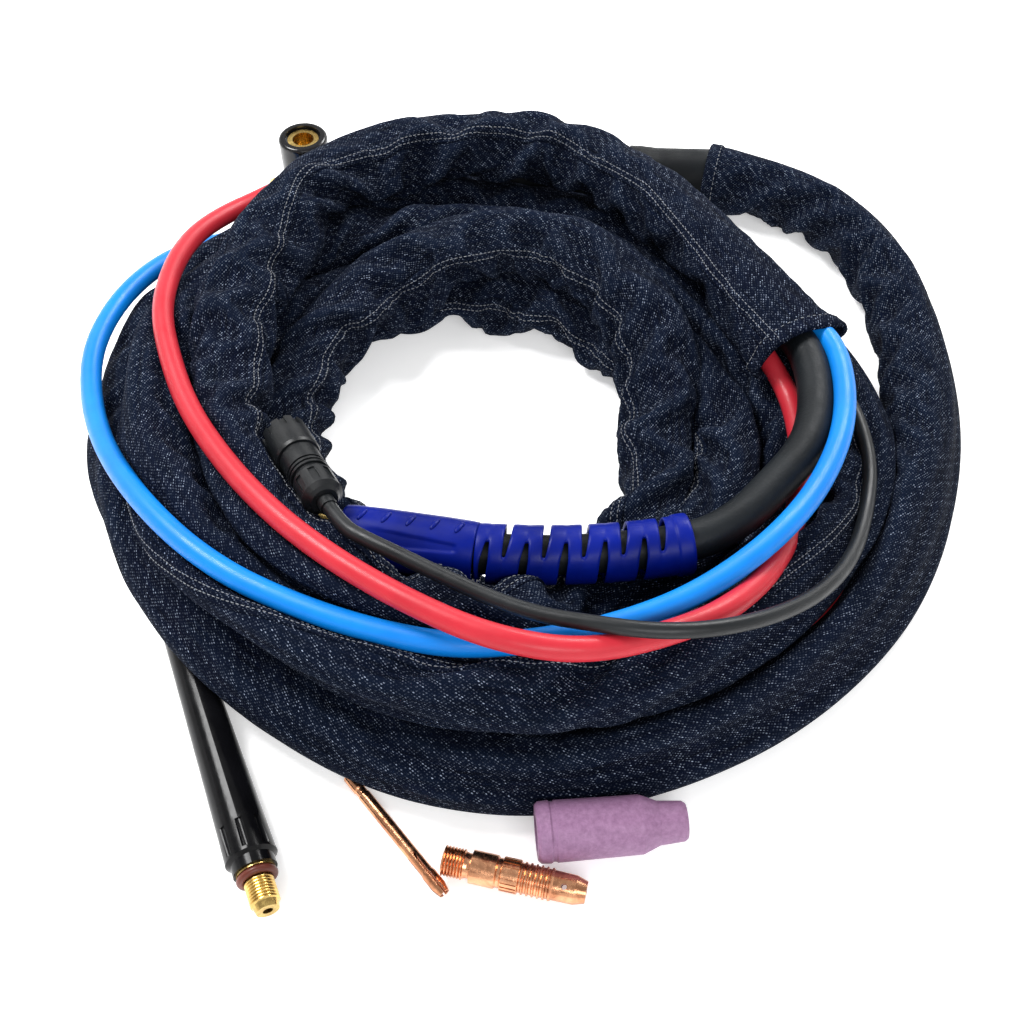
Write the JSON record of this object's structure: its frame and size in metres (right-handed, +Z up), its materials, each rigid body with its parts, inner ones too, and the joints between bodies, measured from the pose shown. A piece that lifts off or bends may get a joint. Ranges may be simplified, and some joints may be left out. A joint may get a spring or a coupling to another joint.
{
  "type": "water-cooled tig welding torch",
  "caption": "Water-cooled TIG welding torch with its coiled fabric-sleeved cable set, machine plug, control plug, water hoses and loose back cap, collet, collet body and ceramic nozzle.",
  "frame": {"origin": "middle of the box of the torch and its loose front parts, at floor level", "axes": "+Z up from the floor the part lies on; +Y from the loose front parts towards the torch, along the longest extent; +X from the torch head towards its handle's rear"},
  "size_m": [0.3431, 0.3622, 0.067],
  "materials": {
    "brass": "satin, lightly tarnished",
    "copper": "satin, oxidised",
    "steel": "satin",
    "head_black": "glossy moulded phenolic",
    "gasket_white": "matt",
    "handle_black": "fine moulded grain",
    "trigger_grey": "satin",
    "switch_black": "matt",
    "plug_blue": "soft moulded rubber-like plastic",
    "plug_black": "satin black",
    "seal_red": "satin",
    "cable_black": "matt",
    "hose_blue": "smooth, slightly glossy",
    "hose_red": "smooth, slightly glossy",
    "denim": "dark indigo twill with light weft flecks and white stitching",
    "cap_black": "glossy moulded phenolic",
    "ceramic_pink": "glazed alumina, mauve pink"
  },
  "bodies": {
    "torch": {"head_core": "brass", "head_insulator": "head_black", "front_gasket": "gasket_white", "power_gas_tube": "copper", "water_in_tube": "copper", "water_return_tube": "copper", "handle_left_shell": "handle_black", "handle_right_shell": "handle_black", "handle_screws": "steel", "trigger_switch": "switch_black", "trigger_spring": "steel", "plug_grip": "plug_blue", "plug_strain_relief": "plug_blue", "plug_pin": "brass", "plug_pin_seal": "seal_red", "plug_grub_screws": "steel", "plug_ferrule": "copper", "control_plug_shell": "plug_black", "control_plug_insert": "switch_black", "control_plug_contacts": "brass", "control_plug_nut": "plug_black", "control_plug_gland": "cable_black", "blue_hose": "hose_blue", "blue_hose_ferrule": "brass", "blue_hose_nipple": "steel", "red_hose": "hose_red", "red_hose_ferrule": "brass", "red_hose_nipple": "steel", "power_cable": "cable_black", "control_cable": "cable_black", "sleeve_coil": "denim", "sleeve_torch_end": "denim", "sleeve_machine_end": "denim"},
    "trigger": {"trigger_button": "trigger_grey"},
    "control_ring": {"control_plug_ring": "plug_black"},
    "back_cap_body": {"back_cap": "cap_black", "back_cap_thread": "brass", "back_cap_seal": "seal_red"},
    "collet_loose": {"collet": "copper"},
    "collet_body_loose": {"collet_body": "copper"},
    "nozzle_loose": {"nozzle": "ceramic_pink"}
  },
  "joints": [
    {"name": "trigger_press", "type": "slide", "parent": "torch", "child": "trigger", "axis": [0, 0, -1], "range_m": [0, 0.0018], "stiffness_N_per_m": 600, "springref_m": -0.0005, "deforming": ["trigger_spring"]},
    {"name": "control_ring_turn", "type": "hinge", "parent": "torch", "child": "control_ring", "pos_m": [-0.0409, -0.0596, 0.056], "axis": [-0.4455, 0.8739, -0.1947], "continuous": true},
    {"name": "back_cap_pull", "type": "slide", "parent": "torch", "child": "back_cap_body", "axis": [0.3911, -0.9204, 0], "range_m": [0, 0.04]},
    {"name": "collet_pull", "type": "slide", "parent": "torch", "child": "collet_loose", "axis": [0, -1, 0], "range_m": [0, 0.03]},
    {"name": "collet_body_pull", "type": "slide", "parent": "torch", "child": "collet_body_loose", "axis": [0.973, -0.2306, 0], "range_m": [0, 0.03]},
    {"name": "nozzle_pull", "type": "slide", "parent": "torch", "child": "nozzle_loose", "axis": [0.9964, 0.0846, 0], "range_m": [0, 0.03]}
  ]
}
